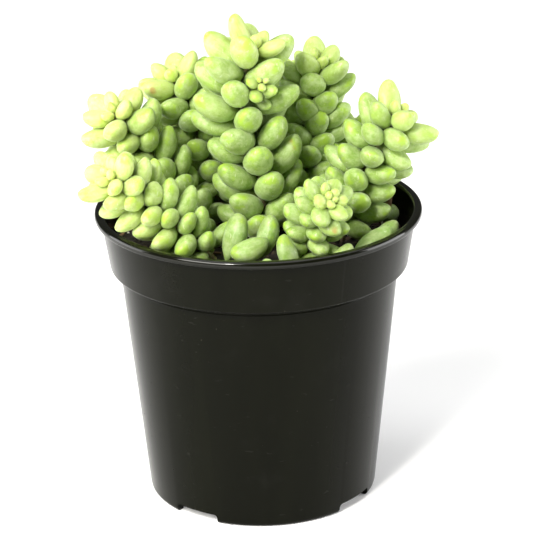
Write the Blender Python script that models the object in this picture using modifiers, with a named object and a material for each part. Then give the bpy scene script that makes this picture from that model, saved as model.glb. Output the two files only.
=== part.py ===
"""A burro's tail plant in a round nursery pot. Metres, +Z up, origin at the middle of the pot's underside."""

import math
import random
from typing import NamedTuple

import bmesh
import bpy
import numpy as np
from mathutils import Matrix, Vector, noise
from mathutils.bvhtree import BVHTree

# Pot
POT_HEIGHT = 0.0988
LIP_RADIUS = 0.054
LIP_BAND = 0.0026
COLLAR_TOP_RADIUS = 0.0520
COLLAR_FOOT_RADIUS = 0.0493
COLLAR_FOOT_HEIGHT = 0.0798
BODY_TOP_RADIUS = 0.04605
FOOT_RADIUS = 0.0380
FOOT_ROUND = 0.0010
WALL = 0.0011
FOOT_RING = 0.0030
HUB_RADIUS = 0.0200
CHANNEL_HEIGHT = 0.0030
NOTCH_WIDTH = 0.0165
NOTCH_HEIGHT = 0.0032
NOTCH_ANGLES = [54 + 90 * quarter for quarter in range(4)]
DRAIN_RADIUS = 0.0035
DRAIN_CIRCLE = 0.0280
POT_STEPS = 40

# Soil
SOIL_TOP = 0.0880
SOIL_LUMPS = 0.0012
SOIL_RINGS = (0.011, 0.021, 0.030, 0.039)
SOIL_STEPS = 20
GAP = 0.0003
ROOT_DEPTH = 0.0080
SOCKET_RADIUS = 0.0021
GRAINS = 8
GRAIN_RADIUS = 0.0012

# Leaves and stems
GOLDEN_ANGLE = math.radians(137.5)
STEM_RADIUS = 0.0015
STEM_TAPER = 0.6
STEM_POINTS = 8
LEAF_CURL = 0.20
LEAF_THICKNESS = 0.86
LEAF_SIDES = 5
LEAF_BANDS = 3
LEAF_FULLNESS = 1.12
TAIL_DETAIL = 0.68
SMALLEST_LEAF = 0.32
LAST_LEAF = 0.97
CLEARANCE = 0.0006


class Shoot(NamedTuple):
    """A stem and the rule for its leaves. Angles are in degrees."""

    node: str
    route: tuple
    leaves: int
    length: float
    width: float
    turn: float
    bare: float
    young: int
    spread: float


SHOOTS = [
    Shoot("tail_centre", ((0.002, 0.0, SOIL_TOP), (0.0, -0.001, 0.112), (-0.005, -0.002, 0.136),
                          (0.0, -0.004, 0.1552)), 40, 0.0176, 0.0098, 8, 0.02, 6, 68),
    Shoot("tail_centre", ((-0.005, -0.002, 0.136), (0.000, -0.008, 0.140), (0.002, -0.013, 0.146)),
          8, 0.0066, 0.0048, 60, 0.45, 6, 60),
    Shoot("tail_rear_right", ((0.014, 0.016, SOIL_TOP), (0.016, 0.019, 0.106), (0.019, 0.021, 0.124),
                              (0.020, 0.020, 0.1430)), 50, 0.0136, 0.0082, 40, 0.02, 7, 58),
    Shoot("tail_rear_left", ((-0.012, 0.017, SOIL_TOP), (-0.016, 0.019, 0.106), (-0.022, 0.020, 0.123),
                             (-0.028, 0.018, 0.139)), 38, 0.0148, 0.0092, 80, 0.05, 6, 64),
    Shoot("tail_left", ((-0.015, 0.003, SOIL_TOP), (-0.027, 0.004, 0.104), (-0.039, 0.001, 0.1215),
                        (-0.047, -0.006, 0.134)), 38, 0.0140, 0.0082, 10, 0.10, 7, 64),
    Shoot("tail_front_left", ((-0.014, -0.024, SOIL_TOP), (-0.026, -0.026, 0.101),
                              (-0.038, -0.027, 0.112), (-0.0475, -0.034, 0.1215)),
          48, 0.0120, 0.0071, 200, 0.08, 8, 64),
    Shoot("tail_right", ((0.027, 0.0, SOIL_TOP), (0.033, -0.001, 0.106), (0.040, -0.002, 0.121),
                         (0.047, -0.003, 0.1305)), 38, 0.0138, 0.0083, 120, 0.05, 7, 66),
    Shoot("tail_front_right", ((0.016, -0.026, SOIL_TOP), (0.017, -0.028, 0.100),
                               (0.020, -0.032, 0.1085), (0.023, -0.036, 0.1138)),
          38, 0.0098, 0.0066, 30, 0.10, 12, 74),
    Shoot("tail_rear", ((0.003, 0.027, SOIL_TOP), (0.006, 0.032, 0.104), (0.009, 0.035, 0.121),
                        (0.010, 0.037, 0.134)), 40, 0.0130, 0.0082, 0, 0.05, 7, 64),
    Shoot("tail_rear_low_left", ((-0.018, 0.028, SOIL_TOP), (-0.023, 0.031, 0.101),
                                 (-0.029, 0.035, 0.109), (-0.035, 0.038, 0.114)),
          32, 0.0110, 0.0072, 0, 0.08, 8, 62),
    Shoot("tail_rear_low_right", ((0.020, 0.026, SOIL_TOP), (0.025, 0.029, 0.101),
                                  (0.031, 0.032, 0.108), (0.037, 0.034, 0.113)),
          32, 0.0110, 0.0072, 0, 0.08, 8, 62),
]

# Leaves that have come off and lie or stand on the soil: foot, tip and width.
FALLEN = [
    ((-0.0105, -0.0320, 0.0915), (-0.0040, -0.0265, 0.1072), 0.0100),
    ((0.0030, -0.0350, 0.1000), (-0.0090, -0.0410, 0.0935), 0.0098),
    ((-0.0005, -0.0300, 0.0910), (0.0075, -0.0275, 0.1050), 0.0084),
    ((0.0120, -0.0415, 0.0910), (0.0070, -0.0370, 0.1030), 0.0080),
    ((0.0015, -0.0450, 0.0900), (0.0035, -0.0445, 0.0965), 0.0058),
    ((0.0310, -0.025, 0.0925), (0.0430, -0.020, 0.0945), 0.0075),
    ((0.0375, -0.0140, 0.0920), (0.0450, -0.0085, 0.0955), 0.0068),
    ((0.0220, -0.038, 0.0915), (0.0300, -0.035, 0.0965), 0.0065),
    ((0.0430, 0.004, 0.0920), (0.0370, 0.012, 0.0960), 0.0068),
    ((-0.0420, 0.010, 0.0920), (-0.0380, 0.022, 0.0930), 0.0074),
    ((0.0110, 0.042, 0.0915), (0.0200, 0.039, 0.0940), 0.0068),
    ((-0.0240, -0.038, 0.0910), (-0.0150, -0.042, 0.0930), 0.0062),
]


class Leaf:
    """One leaf: where it sprouts, where it points, which way it curls, and its size."""

    def __init__(self, node, foot, direction, towards, length, width):
        self.node = node
        self.foot = np.array(foot, float)
        self.direction = np.array(direction, float)
        self.towards = np.array(towards, float)
        self.length = length
        self.width = width


def ease(x):
    x = min(max(x, 0.0), 1.0)
    return x * x * (3 - 2 * x)


def leaf_profile(u):
    """Half-width of a leaf of width 2, from its foot (0) to its tip (1)."""
    return np.sin(np.pi * np.asarray(u, float) ** 1.15) ** 0.58


def along(route, share):
    """Point and direction of the smooth curve through the route's points."""
    route = np.array(route, float)
    points = np.vstack([2 * route[0] - route[1], route, 2 * route[-1] - route[-2]])
    place = min(max(share, 0.0), 1.0) * (len(route) - 1)
    k = min(int(place), len(route) - 2)
    a, b, c, d = points[k:k + 4]
    s = place - k
    square = 2 * a - 5 * b + 4 * c - d
    cube = 3 * b - a - 3 * c + d
    point = 0.5 * (2 * b + (c - a) * s + square * s**2 + cube * s**3)
    slope = 0.5 * (c - a + 2 * square * s + 3 * cube * s**2)
    return point, slope / np.linalg.norm(slope)


def across(axis):
    """Two directions square to a stem, the first as near to -Y as it can be."""
    front = np.array([0.0, -1.0, 0.0])
    front = front - axis * front.dot(axis)
    front = front / np.linalg.norm(front)
    return front, np.cross(axis, front)


def sprout(shoot):
    """Leaves spiral up the stem by the golden angle, small and upright at the tip, large and spread below."""
    ranks = range(shoot.leaves)
    sizes = [SMALLEST_LEAF + (1 - SMALLEST_LEAF) * ease((shoot.leaves - 0.5 - i) / shoot.young) for i in ranks]
    climb = np.cumsum(sizes)
    climb = (climb - climb[0]) / (climb[-1] - climb[0])
    leaves = []
    for i in ranks:
        point, axis = along(shoot.route, shoot.bare + (LAST_LEAF - shoot.bare) * climb[i])
        front, side = across(axis)
        angle = math.radians(shoot.turn) + GOLDEN_ANGLE * i
        outward = math.cos(angle) * front + math.sin(angle) * side
        age = ease((shoot.leaves - 1 - i) / (1.3 * shoot.young))
        lean = math.radians(12 + (shoot.spread - 12) * age)
        direction = math.cos(lean) * axis + math.sin(lean) * outward
        length = shoot.length * sizes[i] * (1 + 0.10 * math.sin(7.3 * i + shoot.turn))
        width = shoot.width * sizes[i] ** 0.85 * (1 + 0.06 * math.cos(5.1 * i + shoot.turn))
        foot = point + 0.3 * STEM_RADIUS * sizes[i] * outward
        leaves.append(Leaf(shoot.node, foot, direction, axis, length, width))
    return leaves


def fallen_leaves():
    leaves = []
    for number, (foot, tip, width) in enumerate(FALLEN, 1):
        reach = np.array(tip) - np.array(foot)
        length = np.linalg.norm(reach)
        leaves.append(Leaf(f"fallen_leaf_{number}", foot, reach / length, (0, 0, 1), length, width))
    return leaves


def spine(leaf, u):
    """Point on a leaf's curved middle line, and the direction its upper face looks."""
    lift = leaf.towards - leaf.direction * leaf.towards.dot(leaf.direction)
    point = leaf.foot + leaf.length * (u * leaf.direction + LEAF_CURL * u**2 * lift)
    return point, lift / max(np.linalg.norm(lift), 1e-6)


def settle(leaves, rounds=90):
    """Turns crowded leaves on their feet until they lie against each other, the stems, the soil and the pot."""
    shares = np.array([0.28, 0.48, 0.68, 0.86])
    radii = 0.47 * leaf_profile(shares)
    count = len(leaves)
    nodes = [leaf.node for leaf in leaves]
    family = np.array([nodes.index(node) for node in nodes])
    foot = np.array([leaf.foot for leaf in leaves])
    way = np.array([leaf.direction for leaf in leaves])
    start = way.copy()
    towards = np.array([leaf.towards for leaf in leaves])
    length = np.array([leaf.length for leaf in leaves])
    width = np.array([leaf.width for leaf in leaves])
    owner = np.repeat(np.arange(count), len(shares))
    ball = (width[:, None] * radii).ravel()
    lever = np.maximum((length[:, None] * shares).ravel(), 0.002)
    stems = np.array([along(shoot.route, share)[0] for shoot in SHOOTS for share in np.linspace(0, 0.97, 12)])

    def gather(index, steps):
        return np.stack([np.bincount(index, steps[:, k], len(ball)) for k in range(3)], 1)

    for turn in range(rounds):
        lift = towards - way * (towards * way).sum(1)[:, None]
        u = shares[None, :, None]
        centre = foot[:, None] + length[:, None, None] * (u * way[:, None] + LEAF_CURL * u**2 * lift[:, None])
        centre = centre.reshape(-1, 3)
        if turn % 15 == 0:
            apart = ((centre[:, None] - centre[None]) ** 2).sum(2)
            near = np.triu(apart < (ball[:, None] + ball[None] + 0.003) ** 2, 1)
            one, two = np.nonzero(near & (owner[:, None] != owner[None]))
            room = np.where(family[owner[one]] == family[owner[two]], 0.0001, CLEARANCE)
            apart = ((centre[:, None] - stems[None]) ** 2).sum(2)
            reach = STEM_RADIUS + ball[:, None] + 0.003
            leafy, stem = np.nonzero((apart < reach**2) & (lever[:, None] > 0.004))
        between = centre[one] - centre[two]
        distance = np.linalg.norm(between, axis=1) + 1e-9
        overlap = np.maximum(ball[one] + ball[two] + room - distance, 0)
        step = between * (0.5 * overlap / distance)[:, None]
        push = gather(one, step) - gather(two, step)
        between = centre[leafy] - stems[stem]
        distance = np.linalg.norm(between, axis=1) + 1e-9
        overlap = np.maximum(STEM_RADIUS + 0.8 * ball[leafy] - distance, 0)
        push += gather(leafy, between * (overlap / distance)[:, None])
        push[:, 2] += np.maximum(SOIL_TOP + CLEARANCE + ball - centre[:, 2], 0)
        from_axis = np.linalg.norm(centre[:, :2], axis=1) + 1e-9
        inside = (centre[:, 2] < POT_HEIGHT - 0.001) & (from_axis < LIP_RADIUS)
        wall = COLLAR_FOOT_RADIUS - WALL
        overlap = np.where(inside, np.maximum(from_axis + ball - wall, 0), 0)
        push[:, :2] -= centre[:, :2] * (overlap / from_axis)[:, None]
        rim = centre * ((LIP_RADIUS - 0.0015) / from_axis)[:, None]
        rim[:, 2] = POT_HEIGHT - 0.001
        between = centre - rim
        distance = np.linalg.norm(between, axis=1) + 1e-9
        overlap = np.maximum(ball + 0.0024 - distance, 0)
        push += between * (overlap / distance)[:, None]
        swing = 0.35 * (push / lever[:, None]).reshape(count, -1, 3).sum(1)
        size = np.linalg.norm(swing, axis=1)[:, None] + 1e-9
        way = way + swing * np.minimum(1, 0.15 / size) + 0.02 * (start - way)
        way /= np.linalg.norm(way, axis=1)[:, None]
    for leaf, direction in zip(leaves, way):
        leaf.direction = direction


def beads(leaf, margin):
    """Balls that cover a leaf: their middles and radii."""
    shares = np.linspace(0.06, 0.97, 9)
    middles = np.array([spine(leaf, u)[0] for u in shares])
    return middles, leaf.width / 2 * leaf_profile(shares) + margin


def trim(leaves, limit=0.72):
    """Shrinks leaves of different bodies that still touch, and drops the ones that would get too small."""
    full = [leaf.length for leaf in leaves]
    for _ in range(14):
        cover = [beads(leaf, CLEARANCE / 2) for leaf in leaves]
        middles = np.array([middle.mean(0) for middle, _ in cover])
        reach = np.array([leaf.length for leaf in leaves])
        tight = set()
        for i, leaf in enumerate(leaves):
            close = np.nonzero(np.linalg.norm(middles - middles[i], axis=1) < 0.6 * (reach + reach[i]) + 0.004)[0]
            for j in close:
                if j <= i or leaves[j].node == leaf.node:
                    continue
                apart = np.linalg.norm(cover[i][0][:, None] - cover[j][0][None], axis=2)
                if (apart < cover[i][1][:, None] + cover[j][1][None]).any():
                    tight |= {i, j}
        if not tight:
            break
        for i in tight:
            leaves[i].length *= 0.96
            leaves[i].width *= 0.96
    return [leaf for leaf, length in zip(leaves, full) if leaf.length > limit * length]


def grow():
    leaves = [leaf for shoot in SHOOTS for leaf in sprout(shoot)] + fallen_leaves()
    settle(leaves)
    return trim(leaves)


# Blender model from here on


def clear_scene():
    for thing in list(bpy.data.objects):
        bpy.data.objects.remove(thing, do_unlink=True)


def new_collection(name):
    made = bpy.data.collections.new(name)
    bpy.context.scene.collection.children.link(made)
    return made


def material(name, colour, roughness):
    made = bpy.data.materials.new(name)
    made.use_nodes = True
    shader = made.node_tree.nodes["Principled BSDF"]
    shader.inputs["Base Color"].default_value = (*colour, 1.0)
    shader.inputs["Roughness"].default_value = roughness
    shader.inputs["Metallic"].default_value = 0.0
    made.diffuse_color = (*colour, 1.0)
    return made


def new_object(name, mesh, collection, surface=None):
    made = bpy.data.objects.new(name, mesh)
    collection.objects.link(made)
    if surface:
        mesh.materials.clear()
        mesh.materials.append(surface)
    return made


def cutter(name, mesh):
    made = new_object(name, mesh, CUTTERS)
    made.hide_render = True
    made.display_type = "WIRE"
    return made


def mesh_of(bm, name):
    mesh = bpy.data.meshes.new(name)
    bm.to_mesh(mesh)
    bm.free()
    return mesh


def settled_mesh(thing):
    """The object's mesh with its modifiers applied."""
    bpy.context.view_layer.update()
    evaluated = thing.evaluated_get(bpy.context.evaluated_depsgraph_get())
    return bpy.data.meshes.new_from_object(evaluated)


def combine(thing, other, operation, crossing=False):
    boolean = thing.modifiers.new(operation.lower(), "BOOLEAN")
    boolean.operation = operation
    boolean.solver = "EXACT"
    boolean.use_self = crossing
    boolean.object = other


def turned(name, profile, steps, collection, surface):
    """A profile of (radius, height) points, turned about the Z axis."""
    bm = bmesh.new()
    corners = [bm.verts.new((radius, 0, height)) for radius, height in profile]
    for one, two in zip(corners, corners[1:]):
        bm.edges.new((one, two))
    made = new_object(name, mesh_of(bm, name), collection, surface)
    screw = made.modifiers.new("turn", "SCREW")
    screw.steps = steps
    screw.render_steps = steps
    screw.use_merge_vertices = True
    screw.merge_threshold = 0.00001
    return made


def pot():
    body_wall = BODY_TOP_RADIUS - WALL
    collar_wall = COLLAR_FOOT_RADIUS - WALL
    ledge = COLLAR_FOOT_HEIGHT + WALL
    floor = CHANNEL_HEIGHT + WALL
    top = POT_HEIGHT
    inside = [
        (0, WALL),
        (HUB_RADIUS - 0.0010, WALL),
        (HUB_RADIUS - 0.0006, floor),
        (FOOT_RADIUS - WALL, floor),
        (body_wall, ledge),
        (collar_wall, ledge),
        (COLLAR_TOP_RADIUS - WALL, top - LIP_BAND / 2),
    ]
    lip = [
        (COLLAR_TOP_RADIUS - WALL + 0.0006, top - 0.0002),
        (COLLAR_TOP_RADIUS, top),
        (LIP_RADIUS - 0.0005, top),
        (LIP_RADIUS, top - 0.0005),
        (LIP_RADIUS, top - LIP_BAND + 0.0004),
        (LIP_RADIUS - 0.0004, top - LIP_BAND),
        (COLLAR_TOP_RADIUS, top - LIP_BAND),
    ]
    outside = [
        (COLLAR_FOOT_RADIUS, COLLAR_FOOT_HEIGHT + 0.0004),
        (COLLAR_FOOT_RADIUS - 0.0004, COLLAR_FOOT_HEIGHT),
        (BODY_TOP_RADIUS, COLLAR_FOOT_HEIGHT),
        (FOOT_RADIUS, FOOT_ROUND),
        (FOOT_RADIUS - 0.3 * FOOT_ROUND, 0.3 * FOOT_ROUND),
        (FOOT_RADIUS - FOOT_ROUND, 0),
        (FOOT_RADIUS - FOOT_RING, 0),
        (FOOT_RADIUS - FOOT_RING - 0.0003, CHANNEL_HEIGHT),
        (HUB_RADIUS + 0.0004, CHANNEL_HEIGHT),
        (HUB_RADIUS, 0),
        (0, 0),
    ]
    made = turned("pot", inside + lip + outside, POT_STEPS, PARTS, PLASTIC)
    bm = bmesh.new()
    for degrees in NOTCH_ANGLES:
        turn = Matrix.Rotation(math.radians(degrees - 90), 4, "Z")
        reach = 2 * (FOOT_RING + 0.001)
        size = Matrix.Diagonal((reach, NOTCH_WIDTH, 2 * NOTCH_HEIGHT, 1))
        place = Matrix.Translation((FOOT_RADIUS - FOOT_RING / 2, 0, 0))
        bmesh.ops.create_cube(bm, size=1, matrix=turn @ place @ size)
        place = Matrix.Translation((DRAIN_CIRCLE, 0, CHANNEL_HEIGHT))
        bmesh.ops.create_cone(bm, cap_ends=True, segments=10, radius1=DRAIN_RADIUS,
                              radius2=DRAIN_RADIUS, depth=0.004, matrix=turn @ place)
    combine(made, cutter("drainage", mesh_of(bm, "drainage")), "DIFFERENCE")
    return made


def soil():
    """Fills the pot up to SOIL_TOP, with lumps on top and a socket for each stem."""
    ledge = COLLAR_FOOT_HEIGHT + WALL + GAP
    floor = CHANNEL_HEIGHT + WALL + GAP
    share = (SOIL_TOP - COLLAR_FOOT_HEIGHT) / (POT_HEIGHT - COLLAR_FOOT_HEIGHT)
    rim = COLLAR_FOOT_RADIUS + share * (COLLAR_TOP_RADIUS - COLLAR_FOOT_RADIUS) - WALL - 2 * GAP
    profile = [
        (0, SOIL_TOP),
        *[(radius, SOIL_TOP) for radius in SOIL_RINGS],
        (rim, SOIL_TOP),
        (COLLAR_FOOT_RADIUS - WALL - GAP, ledge),
        (BODY_TOP_RADIUS - WALL - GAP, ledge),
        (FOOT_RADIUS - WALL - GAP, floor),
        (HUB_RADIUS - 0.0006 - GAP, floor),
        (HUB_RADIUS - 0.0010 - GAP, WALL + GAP),
        (0, WALL + GAP),
    ]
    whole = turned("soil_whole", profile, SOIL_STEPS, PARTS, None)
    mesh = settled_mesh(whole)
    bpy.data.objects.remove(whole, do_unlink=True)
    for vert in mesh.vertices:
        if vert.co.z > SOIL_TOP - GAP:
            lump = 0.5 + 0.5 * noise.noise(vert.co * 120)
            vert.co.z = SOIL_TOP - 0.0006 - 2 * SOIL_LUMPS * lump
    made = new_object("soil", mesh, PARTS, EARTH)
    bm = bmesh.new()
    for shoot in SHOOTS:
        if shoot.route[0][2] == SOIL_TOP:
            middle = Vector((shoot.route[0][0], shoot.route[0][1], SOIL_TOP + 0.001))
            depth = 2 * (ROOT_DEPTH + GAP + 0.001)
            bmesh.ops.create_cone(bm, cap_ends=True, segments=8, radius1=SOCKET_RADIUS,
                                  radius2=SOCKET_RADIUS, depth=depth, matrix=Matrix.Translation(middle))
    combine(made, cutter("sockets", mesh_of(bm, "sockets")), "DIFFERENCE")
    return made


def stem(shoot):
    """A tapering tube along the route; a stem that starts at the soil runs on straight down to its root end."""
    points = [(along(shoot.route, share)[0], 1 - STEM_TAPER * share) for share in np.linspace(0, 1, STEM_POINTS)]
    if shoot.route[0][2] == SOIL_TOP:
        points.insert(0, (np.array(shoot.route[0]) - (0, 0, ROOT_DEPTH), 1.0))
    curve = bpy.data.curves.new("stem", "CURVE")
    curve.dimensions = "3D"
    curve.bevel_depth = STEM_RADIUS
    curve.bevel_resolution = 1
    curve.use_fill_caps = True
    line = curve.splines.new("POLY")
    line.points.add(len(points) - 1)
    for knot, (point, radius) in zip(line.points, points):
        knot.co = (*point, 1)
        knot.radius = radius
    tube = new_object("stem", curve, PARTS)
    mesh = settled_mesh(tube)
    bpy.data.objects.remove(tube, do_unlink=True)
    bm = bmesh.new()
    bm.from_mesh(mesh)
    bmesh.ops.remove_doubles(bm, verts=bm.verts, dist=0.00001)
    bmesh.ops.recalc_face_normals(bm, faces=bm.faces)
    return bm


def add_leaf(bm, leaf):
    """A coarse round body, drawn out along the leaf's curved middle line."""
    ball = bmesh.ops.create_uvsphere(bm, u_segments=LEAF_SIDES, v_segments=LEAF_BANDS, radius=1)
    for vert in ball["verts"]:
        x, y, z = vert.co
        u = 0.5 + 0.5 * z * (0.85 + 0.15 * z * z)
        point, upper = spine(leaf, u)
        side = np.cross(upper, leaf.direction)
        around = math.hypot(x, y)
        if around > 0.01:
            half = LEAF_FULLNESS * leaf.width / 2 * float(leaf_profile(u)) / around
            point = point + half * (x * side + LEAF_THICKNESS * y * upper)
        vert.co = point


def outer_skin(mesh):
    """Keeps a joined body's outside and fills the pockets closed in between its leaves."""
    bm = bmesh.new()
    bm.from_mesh(mesh)
    unseen = set(bm.verts)
    islands = []
    while unseen:
        island = {unseen.pop()}
        front = list(island)
        while front:
            for edge in front.pop().link_edges:
                for vert in edge.verts:
                    if vert in unseen:
                        unseen.discard(vert)
                        island.add(vert)
                        front.append(vert)
        islands.append(island)
    largest = max(islands, key=len)
    bmesh.ops.delete(bm, geom=[vert for vert in bm.verts if vert not in largest], context="VERTS")
    bm.to_mesh(mesh)
    bm.free()


def tail(node, leaves):
    """The stems of one body and all the leaves that grow from them, joined."""
    bm = bmesh.new()
    for shoot in SHOOTS:
        if shoot.node == node:
            part = stem(shoot)
            mesh = mesh_of(part, "stem")
            bm.from_mesh(mesh)
    stems = new_object(node + "_stems", mesh_of(bm, node), PARTS)
    bm = bmesh.new()
    for leaf in leaves:
        add_leaf(bm, leaf)
    crown = cutter(node + "_leaves", mesh_of(bm, node + "_leaves"))
    combine(stems, crown, "UNION", crossing=True)
    mesh = settled_mesh(stems)
    bpy.data.objects.remove(stems, do_unlink=True)
    bpy.data.objects.remove(crown, do_unlink=True)
    outer_skin(mesh)
    made = new_object(node, mesh, PARTS, LEAF_GREEN)
    fewer = made.modifiers.new("fewer faces", "DECIMATE")
    fewer.ratio = TAIL_DETAIL
    return made


def fallen_leaf(leaf):
    bm = bmesh.new()
    add_leaf(bm, leaf)
    return new_object(leaf.node, mesh_of(bm, leaf.node), PARTS, LEAF_GREEN)


def grains(soil_body, leaves):
    """White grains of perlite lying on bare patches of the soil."""
    mesh = settled_mesh(soil_body)
    bm = bmesh.new()
    bm.from_mesh(mesh)
    ground = BVHTree.FromBMesh(bm)
    bm.free()
    cover = [beads(leaf, GRAIN_RADIUS + CLEARANCE) for leaf in leaves]
    cover += [(np.array([along(shoot.route, share)[0] for share in np.linspace(0, 0.3, 9)]),
               np.full(9, STEM_RADIUS + GRAIN_RADIUS + 3 * CLEARANCE)) for shoot in SHOOTS]
    middles = np.concatenate([middle for middle, _ in cover])
    reach = np.concatenate([radius for _, radius in cover])
    chance = random.Random(7)
    placed = []
    while len(placed) < GRAINS:
        angle = chance.uniform(0, 2 * math.pi)
        radius = chance.uniform(0.030, 0.046)
        size = GRAIN_RADIUS * chance.uniform(0.7, 1.0)
        x = radius * math.cos(angle)
        y = radius * math.sin(angle)
        spots = [(x, y), (x + size, y), (x - size, y), (x, y + size), (x, y - size)]
        hits = [ground.ray_cast(Vector((a, b, 0.2)), Vector((0, 0, -1)))[0] for a, b in spots]
        place = Vector((x, y, max(hit.z for hit in hits) + GAP + size))
        on_top = place.z > SOIL_TOP - 2 * SOIL_LUMPS
        clear = (np.linalg.norm(middles - np.array(place), axis=1) > reach).all()
        if on_top and clear and all((place - other).length > 0.004 for other in placed):
            placed.append(place)
            bm = bmesh.new()
            bmesh.ops.create_icosphere(bm, subdivisions=1, radius=size)
            name = f"perlite_{len(placed)}"
            new_object(name, mesh_of(bm, name), PARTS, PERLITE).location = place


clear_scene()
PARTS = new_collection("potted_burros_tail")
CUTTERS = new_collection("cutters")
PLASTIC = material("pot_plastic", (0.020, 0.020, 0.018), 0.30)
EARTH = material("potting_soil", (0.030, 0.020, 0.014), 0.95)
LEAF_GREEN = material("leaf_green", (0.40, 0.60, 0.18), 0.50)
PERLITE = material("perlite_white", (0.75, 0.73, 0.68), 0.90)

pot()
ground_body = soil()
all_leaves = grow()
for body in dict.fromkeys(shoot.node for shoot in SHOOTS):
    tail(body, [leaf for leaf in all_leaves if leaf.node == body])
for single in all_leaves:
    if single.node.startswith("fallen_leaf"):
        fallen_leaf(single)
grains(ground_body, all_leaves)
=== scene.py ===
"""Looks of the burro's tail plant in its nursery pot: leaves, stems, soil, moulded pot, light and camera."""

import math
import random
from typing import NamedTuple

import bmesh
import bpy
import numpy as np
from mathutils import Matrix, Vector, noise


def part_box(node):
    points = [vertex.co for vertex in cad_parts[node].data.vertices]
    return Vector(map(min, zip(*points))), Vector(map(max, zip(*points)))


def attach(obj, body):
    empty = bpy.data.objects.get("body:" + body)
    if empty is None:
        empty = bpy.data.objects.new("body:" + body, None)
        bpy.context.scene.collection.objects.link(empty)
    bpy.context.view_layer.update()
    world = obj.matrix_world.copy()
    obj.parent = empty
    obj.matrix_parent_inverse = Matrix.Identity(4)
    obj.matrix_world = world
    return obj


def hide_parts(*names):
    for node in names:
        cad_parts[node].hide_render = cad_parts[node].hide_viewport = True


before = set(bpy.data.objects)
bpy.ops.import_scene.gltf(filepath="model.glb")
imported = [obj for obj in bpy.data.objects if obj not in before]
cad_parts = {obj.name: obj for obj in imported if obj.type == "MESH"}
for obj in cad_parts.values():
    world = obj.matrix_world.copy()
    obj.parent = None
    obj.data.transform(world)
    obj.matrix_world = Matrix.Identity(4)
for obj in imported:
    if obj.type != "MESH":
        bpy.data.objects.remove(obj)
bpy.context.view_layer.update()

# The pot. Its height and the radius of its lip come from its box in the frame.
POT_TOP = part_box("pot")[1]
POT_HEIGHT = round(POT_TOP[2], 4)
LIP_RADIUS = round(POT_TOP[0], 4)
COLLAR_FOOT = 0.0798
COLLAR_FOOT_RADIUS = 0.0493
NECK_RADIUS = 0.04605
FOOT_RADIUS = 0.0381
WALL = 0.0011
NOTCH_WIDTH = 0.0165
NOTCH_HEIGHT = 0.0032
FIRST_NOTCH = -36
DRAIN_RADIUS = 0.0035
DRAIN_REACH = 0.0280

# The mould's parting plane goes through the pot's axis at this angle.
SEAM_ANGLE = math.radians(31.6)

# The soil, and the stub of an old stem that stands in it
SOIL_TOP = 0.0880
SOIL_RADIUS = 0.0489
STALK_FOOT = (0.0428, 0.0070)
STALK_HEIGHT = 0.0185
STALK_RADIUS = 0.0014

# The rule of the leaves, as in the CAD model
GOLDEN_ANGLE = math.radians(137.5)
STEM_RADIUS = 0.0015
STEM_TAPER = 0.6
LEAF_CURL = 0.20
SMALLEST_LEAF = 0.32
LAST_LEAF = 0.97
CLEARANCE = 0.0006

# Leaves near the heart of the plant get painted shade and are greener: fully within SHADE_NEAR, less over
# SHADE_FADE.
LEAF_HEART = np.array((0.004, 0.004, 0.098))
SHADE_NEAR = 0.028
SHADE_FADE = 0.034

# Leaves past this place along -X, on the side the light comes from, get painted light and are paler, in full
# after SUN_FADE.
SUN_EDGE = -0.014
SUN_FADE = 0.034

# Fineness of the visible leaves
LEAF_AROUND = 18
LEAF_ALONG = 15


class Shoot(NamedTuple):
    """A stem and the rule for its leaves. Angles are in degrees."""

    node: str
    route: tuple
    leaves: int
    length: float
    width: float
    turn: float
    bare: float
    young: int
    spread: float


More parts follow.
